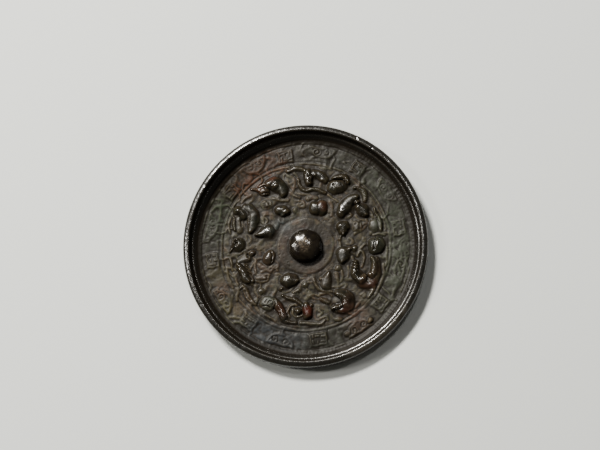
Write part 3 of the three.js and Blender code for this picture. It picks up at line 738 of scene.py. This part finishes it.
# The relief is raised on all of the back between the knob and the top of the slope
BACK_START = 2.5
decorated = (points[:, 2] > BACK_START) & (radii < SLOPE_TOP) & ~on_knob
points[decorated, 2] = relief(points[decorated, 0], points[decorated, 1], points[decorated, 2])

skin = bpy.data.meshes.new("mirror_skin")
skin.from_pydata((points * MM).tolist(), [], faces)
skin.update()
mirror = bpy.data.objects.new("bronze_mirror", skin)
bpy.context.collection.objects.link(mirror)

# Cord hole: a block with rounded upper edges, cut straight through the knob
HOLE_LENGTH = 26
HOLE_WIDTH = 6
HOLE_HEIGHT = 4.3
HOLE_ARCH = 1.7
ARCH_SEGMENTS = 6
hole_middle = KNOB_FOOT + HOLE_HEIGHT / 2

bpy.ops.object.select_all(action="DESELECT")
bpy.ops.mesh.primitive_cube_add(size=1, location=(0, 0, hole_middle * MM))
cutter = bpy.context.object
cutter.scale = (HOLE_LENGTH * MM, HOLE_WIDTH * MM, HOLE_HEIGHT * MM)
bpy.ops.object.transform_apply(location=True, rotation=False, scale=True)
bpy.ops.object.mode_set(mode="EDIT")
bpy.ops.mesh.select_all(action="DESELECT")
bpy.ops.object.mode_set(mode="OBJECT")
for edge in cutter.data.edges:
    start, end = [cutter.data.vertices[i].co for i in edge.vertices]
    lengthways = abs(start.x - end.x) > HOLE_WIDTH * MM
    edge.select = lengthways and min(start.z, end.z) > hole_middle * MM
bpy.ops.object.mode_set(mode="EDIT")
bpy.ops.mesh.select_mode(type="EDGE")
bpy.ops.mesh.bevel(offset=HOLE_ARCH * MM, segments=ARCH_SEGMENTS)
bpy.ops.object.mode_set(mode="OBJECT")
bpy.context.view_layer.objects.active = mirror
hole = mirror.modifiers.new("cord_hole", "BOOLEAN")
hole.object = cutter
hole.operation = "DIFFERENCE"
hole.solver = "EXACT"
bpy.ops.object.modifier_apply(modifier="cord_hole")
bpy.data.objects.remove(cutter, do_unlink=True)

# The skin is shaded smooth, but for edges as sharp as the mouths of the hole
SHARP_ANGLE = 75
bpy.ops.object.select_all(action="DESELECT")
mirror.select_set(True)
bpy.context.view_layer.objects.active = mirror
bpy.ops.object.shade_smooth_by_angle(angle=math.radians(SHARP_ANGLE))


def vertex_array(mesh, name):
    values = np.empty(len(mesh.vertices) * 3)
    getattr(mesh, name).foreach_get("co" if name == "vertices" else "vector", values)
    return values.reshape(-1, 3)


def hollow_measure(mesh, rounds):
    """How far each point lies below (+) or above (-) the mean of its surroundings, in mm.
    More rounds take in wider surroundings."""
    place = vertex_array(mesh, "vertices")
    normal = vertex_array(mesh, "vertex_normals")
    ends = np.empty(len(mesh.edges) * 2, int)
    mesh.edges.foreach_get("vertices", ends)
    ends = ends.reshape(-1, 2)
    one = np.concatenate([ends[:, 0], ends[:, 1]])
    other = np.concatenate([ends[:, 1], ends[:, 0]])
    degree = np.maximum(np.bincount(one, minlength=len(place)), 1)
    mean = place.copy()
    for _ in range(rounds):
        sums = [np.bincount(one, mean[other, axis], len(place)) for axis in range(3)]
        mean = np.stack(sums, 1) / degree[:, None]
    return ((mean - place) * normal).sum(1) / MM


# Each point of the skin keeps how dirty and how shaded it is, how worn it is, and which part it belongs to.
# Dirt gathers in hollows of all widths, and the same mark paints shade into them and round the feet of the
# bodies.
# Wear takes the patina off sharp high edges.
HOLLOW_ROUNDS = (3, 16, 60)
skin = mirror.data
spot = vertex_array(skin, "vertices") / MM
far = np.hypot(spot[:, 0], spot[:, 1])
above_field = spot[:, 2] - FIELD
fine, broad, wide = (hollow_measure(skin, rounds) for rounds in HOLLOW_ROUNDS)
facing_down = vertex_array(skin, "vertex_normals")[:, 2] < -0.6
MARKS = {
    # Dirt mark: earth in the hollows, and also painted shade in the gaps round the feet of the bodies
    "dirt_and_shade": np.clip(fine * 15 + broad * 3.4 + np.clip(wide, 0, 1) * 1.1, 0, 1),
    "wear": np.clip(-fine * 7 - 0.25, 0, 1) * np.clip(above_field / 1.6, 0.35, 1),
    "rim": fade(far, 60.2, 0.6),
    "face": facing_down & (spot[:, 2] < 1.3),
    "band": fade(far, 46, 1.4) * fade(far, 60.6, -0.6),
    "knob": fade(far, 9.5, -0.3) * (spot[:, 2] > 3.6),
    "rise": fade(above_field, 0.35, 0.9) * (far < 46),
}
for name, values in MARKS.items():
    layer = skin.attributes.new(name, "FLOAT", "POINT")
    layer.data.foreach_set("value", values.astype(np.float32))


# Patina of the mirror
# Bronze of this age has a thin, dark brown-black patina. Earth and old wax stay in the
# hollows, which also carry painted shade. The tops are worn smooth and shine, and spots of
# corroded copper and tin are red, green or grey. Some dark stains are painted shade, and
# the rim has a painted sheen on its lower right.

BASE = "221c13"
BAND_SHADE, BAND_SPOTS = "0f100b", "060605"
BODY_SHADE = "0c0b07"
SEAT_SHADE = "15110c"
# The rim's second colour is a painted sheen for its lower right
RIM_SHADE, RIM_PAINTED_SHEEN = "0b0b0a", "262219"
FACE_SHADE = "1b1f1a"
KNOB_SHADE, KNOB_SPOTS, KNOB_WORN = "15110b", "0c0807", "554a3c"
DIRT_AND_SHADE = "0c0804"
BARE_METAL = "50442f"

# Mottling: colour, size of its spots in millimetres, where the noise starts and is full,
# strength, and the noise's detail and roughness
MOTTLING = [
    ("29251a", 9, 0.38, 0.62, 1, 5, 0.55),
    ("120e09", 3.2, 0.46, 0.7, 0.85, 5, 0.55),
    ("352e1c", 1.3, 0.55, 0.75, 0.6, 5, 0.55),
    ("23261b", 6.5, 0.5, 0.66, 0.55, 4, 0.55),
    ("2d2018", 5.2, 0.52, 0.66, 0.6, 4, 0.55),
    ("37362a", 2.1, 0.54, 0.66, 0.55, 6, 0.65),
    ("0b0906", 1.7, 0.53, 0.66, 0.7, 6, 0.65),
]

# Stains: place on the back, reach and softness of the edge, colour and strength
PATCHES = [
    # Red-brown earth at the upper left
    (-20, 50, 8, 6, "2c1a10", 0.45),
    (-30, 43, 8, 6, "2e1b10", 0.45),
    (-38, 33, 7, 6, "281a10", 0.35),
    (-27, 34, 5, 4, "2e1d12", 0.4),
    # Red and brown on the beasts
    (1.4, -35.6, 3.2, 1.2, "2e0e09", 0.85),
    (3, -38.6, 2.4, 1.2, "2e0e09", 0.75),
    (26, -36, 6, 3, "301e17", 0.6),
    (30, -41, 7, 5, "2e2119", 0.5),
    (36, -20, 4, 3, "301a0c", 0.6),
    (39.6, -14, 3, 3, "2c190d", 0.5),
    (10.4, 22.6, 3, 2, "2c140d", 0.6),
    (-14, -35, 4, 2, "2a1610", 0.6),
    # Olive and brown at the lower left
    (-44, -34, 7, 4, "2b2a19", 0.7),
    (-38, -42, 7, 4, "29291a", 0.65),
    (-50, -16, 8, 5, "231f11", 0.65),
    (-46, -25, 4, 3, "2c1d14", 0.6),
    (-37, -34, 6, 4, "2d2116", 0.5),
    # Blue-grey beside the seat
    (-12.5, 12, 4.6, 2.5, "181e20", 0.8),
    (-15.4, 8.2, 3.4, 2.5, "1a2021", 0.7),
    # Blue-grey in the lower part of the belt
    (-24, -50, 9, 6, "171a1e", 0.75),
    (-34, -46, 5, 3, "181b1d", 0.6),
    (-8, -53, 10, 6, "191b1e", 0.6),
    (8, -52, 9, 6, "1d1e1a", 0.5),
    # Green on the right of the belt
    (48, 6, 12, 8, "24271e", 0.6),
    (50, -12, 12, 8, "272a21", 0.65),
    (42, -32, 9, 6, "2a2b23", 0.5),
    (40, 34, 9, 6, "20231a", 0.5),
    # Green on the left of the belt
    (-50, 12, 9, 7, "23271f", 0.6),
    (-46, 24, 6, 4, "252a20", 0.6),
    # Brown round the knob
    (-10, 3, 6, 4, "281d17", 0.5),
    (-2, 8, 3, 1.5, "3a2217", 0.6),
    (6, -12, 8, 5, "241d19", 0.5),
    (-24, -9, 7, 5, "2c2018", 0.5),
    # Single spots between the beasts
    (-20.3, -6.5, 3.4, 1, "17130e", 0.85),
    (44, 14, 5, 4, "262b22", 0.5),
    (-20, -31, 4, 2, "22261f", 0.6),
    # Painted shade on the belt at the upper left, the left and the top, where the rim's shadow falls
    (-38, 38, 12, 6, "12100b", 0.4),
    (-52, 2, 8, 6, "15130d", 0.35),
    (-2, 52, 9, 6, "19140c", 0.35),
    # Rust-red spots at the upper left
    (-28, 37, 4.5, 3, "3a1f12", 0.5),
    (-20, 40, 3, 2, "3c2018", 0.5),
    (-36, 32, 3.5, 3, "331c11", 0.5),
    (-14, 45, 3, 2, "351f14", 0.4),
    # Dark and red spots on single bosses and bodies. The dark spots on the outer slopes of the C-shaped and
    # U-shaped bodies, and on the right side of the neck above the U, are painted shade laid over their
    # red-brown.
    (39, -1, 4.4, 1.4, "0b0c09", 0.85),
    (39.6, -9, 2.6, 1.2, "130d08", 0.8),
    # Painted shade over red-brown: outer slopes of the C and U bodies and the right side of the neck
    (25.4, -30.6, 2.6, 1.2, "0a0704", 0.9),
    (20.4, -36.4, 2.6, 1.2, "1e0d08", 0.85),
    (32, -22.6, 3, 1.4, "1c0f08", 0.8),
    (37, -21.4, 2.6, 1.2, "200e08", 0.8),
    (40, -13.4, 3, 1.2, "150c07", 0.8),
    (33.6, 18.6, 2.6, 1.2, "0d0c09", 0.8),
    (-29, 14, 3, 1.4, "14150f", 0.7),
    (-12, 33, 3, 1.4, "10110c", 0.7),
]

# Tops that are polished by handling, and spots that stay matt: place and reach
POLISHED = [
    (32, -17, 7), (21.6, -31, 3.4), (16.6, -34.6, 3), (39.8, 1, 1.8), (-13.4, -37, 4.5),
    (-34.6, -12, 4), (19.4, 19.6, 2), (30, 22.5, 2), (-3.9, -36, 2.5), (-18.6, 36, 3.6),
    (0.6, 40, 3), (22.5, 38, 2), (-22, 9.6, 2.4), (-37.4, 20.5, 2.6), (0, 0, 10),
]
MATT = [
    (44, -47, 11), (30, -57, 11), (54, -35, 8), (-20.8, -31, 4.4), (38.2, 11, 3.6),
    (28.3, 10.8, 3.6), (-35.4, -7, 3), (-25, -17.6, 3), (24.4, 24.6, 3), (11, -20, 3), (-37, 12, 3),
    (35.2, -20.6, 2.8), (16.8, -29.6, 2.4), (19.6, -7.2, 3.2), (-30, 18.6, 4), (-30.6, 12, 3.6),
    (-33.6, 21.8, 2.6), (-23, 24, 3), (-13, 31, 2.6),
]

# How much less bare metal shows on the rim, the belt and the bodies than on fine edges
SHELTERED = {"rim": 0.78, "band": 0.3, "rise": 0.65}

BACK_LEVEL = 3
KNOB_LEVEL = 10

bronze = bpy.data.materials.new("bronze_dark_patina")
bronze.use_nodes = True
nodes, links = bronze.node_tree.nodes, bronze.node_tree.links
shader = nodes["Principled BSDF"]


def add_node(kind, inputs=None, result=0, **settings):
    """Adds one node with its settings, links or fills its inputs, and gives one result."""
    node = nodes.new(kind)
    for name, value in settings.items():
        setattr(node, name, value)
    for name, value in (inputs or {}).items():
        if isinstance(value, bpy.types.NodeSocket):
            links.new(value, node.inputs[name])
        else:
            node.inputs[name].default_value = value
    return node.outputs[result]


def mottle(size, start, full, low=0.0, high=1.0, detail=4, rough=0.55):
    """From low to high in ragged spots of the given size in millimetres."""
    cloud = add_node("ShaderNodeTexNoise", {"Vector": spot_mm, "Scale": 1 / size, "Detail": detail,
                                            "Roughness": rough})
    return add_node("ShaderNodeMapRange", {"Value": cloud, "From Min": start, "From Max": full,
                                           "To Min": low, "To Max": high}, clamp=True)


def grain(size, detail, rough, strength, depth, below=None):
    """Fine unevenness of the surface, with its size and depth in millimetres."""
    cloud = add_node("ShaderNodeTexNoise", {"Vector": spot_mm, "Scale": 1 / size, "Detail": detail,
                                            "Roughness": rough})
    inputs = {"Height": cloud, "Strength": strength, "Distance": depth * MM}
    if below:
        inputs["Normal"] = below
    return add_node("ShaderNodeBump", inputs)


def together(*amounts):
    """Several amounts from 0 to 1 multiplied into one."""
    amount = amounts[0]
    for other in amounts[1:]:
        amount = add_node("ShaderNodeMath", {0: amount, 1: other}, operation="MULTIPLY")
    return amount


def laid_over(below, shade, *amounts):
    """The colour below with a shade laid over it, as strongly as all amounts together say."""
    return add_node("ShaderNodeMix", {"Factor": together(*amounts), 6: below, 7: linear(shade)}, 2,
                    data_type="RGBA")


def between(low, high, *amounts):
    """From low to high, as far as all amounts together say."""
    return add_node("ShaderNodeMix", {"Factor": together(*amounts), 2: low, 3: high})


def patch(x, y, reach, soft, level=BACK_LEVEL):
    """1 within reach of a spot on the back, with an edge made ragged by noise."""
    gap = add_node("ShaderNodeVectorMath", {0: spot_mm, 1: (x, y, level)}, "Value", operation="DISTANCE")
    ragged = mottle(5, 0.3, 0.7, -reach * 0.45, reach * 0.45)
    edge = add_node("ShaderNodeMath", {0: ragged, 1: gap}, operation="ADD")
    return add_node("ShaderNodeMapRange", {"Value": edge, "From Min": reach + soft, "From Max": reach - soft},
                    clamp=True)


def strongest(amount, spots, soft):
    """1 on any of the spots, and the given amount away from them."""
    for x, y, reach in spots:
        amount = add_node("ShaderNodeMath", {0: amount, 1: patch(x, y, reach, soft)}, operation="MAXIMUM")
    return amount


place = add_node("ShaderNodeTexCoord", result="Object")
spot_mm = add_node("ShaderNodeVectorMath", {0: place, "Scale": 1 / MM}, operation="SCALE")
mark = {name: add_node("ShaderNodeAttribute", result="Fac", attribute_name=name) for name in MARKS}
rim, knob, band, rise = mark["rim"], mark["knob"], mark["band"], mark["rise"]

# Colour: mottled ground, the parts' own shades, the stains with some painted shade, the rim's painted sheen,
# then dirt with painted shade in the hollows, and bare metal
colour = linear(BASE)
for shade, size, start, full, strength, detail, rough in MOTTLING:
    colour = laid_over(colour, shade, mottle(size, start, full, 0, strength, detail, rough))
colour = laid_over(colour, BAND_SHADE, band, 0.8)
colour = laid_over(colour, BAND_SPOTS, band, mottle(2.8, 0.5, 0.62, 0, 0.6, 6, 0.65))
colour = laid_over(colour, BODY_SHADE, rise, mottle(5, 0.4, 0.6, 0.7, 1))
colour = laid_over(colour, SEAT_SHADE, patch(0, 0, 15.5, 1.5), 0.85)
for x, y, reach, soft, shade, strength in PATCHES:
    colour = laid_over(colour, shade, patch(x, y, reach, soft), strength)
colour = laid_over(colour, RIM_SHADE, rim, 0.95)
# Painted sheen: the rim is lighter towards the lower right, where light falls on it
colour = laid_over(colour, RIM_PAINTED_SHEEN, rim, 0.5, patch(42, -50, 24, 10))
colour = laid_over(colour, FACE_SHADE, mark["face"], mottle(11, 0.35, 0.6, 0.5, 0.95, 5))
colour = laid_over(colour, KNOB_SHADE, knob)
colour = laid_over(colour, KNOB_SPOTS, knob, mottle(2.6, 0.45, 0.6, 0, 0.8))
worn_top = together(knob, patch(-0.6, 0, 3.6, 1.4, KNOB_LEVEL))
colour = laid_over(colour, KNOB_WORN, worn_top, mottle(1.1, 0.45, 0.65, 0.05, 0.6, 5))
# Dark dirt in the hollows, which also serves as painted shade round the bodies
colour = laid_over(colour, DIRT_AND_SHADE, mark["dirt_and_shade"], mottle(4, 0.3, 0.6, 0.75, 1))
bare = mark["wear"]
for name, share in SHELTERED.items():
    bare = together(bare, between(1, 1 - share, mark[name]))
colour = laid_over(colour, BARE_METAL, bare, mottle(2.4, 0.35, 0.65, 0.15, 0.5))
links.new(colour, shader.inputs["Base Color"])

# Gloss: the raised forms are smoother than the field, most of all where hands have rubbed
raised = add_node("ShaderNodeMath", {0: rise, 1: knob}, operation="MAXIMUM")
matt = strongest(0, MATT, 1.2)
polish = strongest(0.1, POLISHED, 2.5)
metal = add_node("ShaderNodeMath", {0: between(0.03, 0.12, raised, polish), 1: together(knob, 0.3)},
                 operation="MAXIMUM")
links.new(metal, shader.inputs["Metallic"])

rough = mottle(1.6, 0.3, 0.7, 0.44, 0.58, 5)
rough = between(rough, mottle(2.2, 0.3, 0.7, 0.24, 0.36), raised)
rough = between(rough, mottle(1.5, 0.3, 0.7, 0.15, 0.24), raised, polish)
rough = between(rough, mottle(2, 0.3, 0.7, 0.2, 0.36, 5), rim)
rough = between(rough, mottle(3, 0.35, 0.65, 0.16, 0.28), knob)
rough = between(rough, 0.52, matt, 0.8)
rough = between(rough, mottle(7, 0.35, 0.65, 0.26, 0.44, 5), mark["face"])
links.new(rough, shader.inputs["Roughness"])

level = add_node("ShaderNodeMath", {0: between(0.12, 0.22, raised), 1: together(rim, 0.36)},
                 operation="MAXIMUM")
dull_side = between(1, 0.45, band, patch(-44, 36, 22, 12))
links.new(together(level, dull_side), shader.inputs["Specular IOR Level"])

# Old wax and handling leave a thin clear film, which gives the small crisp highlights
COAT_ROUGHNESS = 0.08
film = add_node("ShaderNodeMath", {0: together(mark["wear"], 0.35), 1: together(raised, 0.8)},
                operation="ADD", use_clamp=True)
film = together(film, polish, between(1, 0.15, matt))
film = add_node("ShaderNodeMath", {0: together(rim, 0.7), 1: film}, operation="MAXIMUM")
coat = add_node("ShaderNodeMapRange", {"Value": film, "From Min": 0.05, "To Max": 0.7}, clamp=True)
links.new(coat, shader.inputs["Coat Weight"])
shader.inputs["Coat Roughness"].default_value = COAT_ROUGHNESS

# Grain of the corroded skin, half a millimetre to 2 millimetres wide. The real one is
# finer, and it is drawn as coarse as it needs to show.
fine_grain = grain(0.55, 6, 0.6, 0.35, 0.12)
links.new(grain(1.7, 3, 0.5, 0.4, 0.3, fine_grain), shader.inputs["Normal"])
links.new(grain(1.4, 4, 0.5, 0.3, 0.2), shader.inputs["Coat Normal"])
skin.materials.clear()
skin.materials.append(bronze)

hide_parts("mirror", "knob")
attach(mirror, "root")
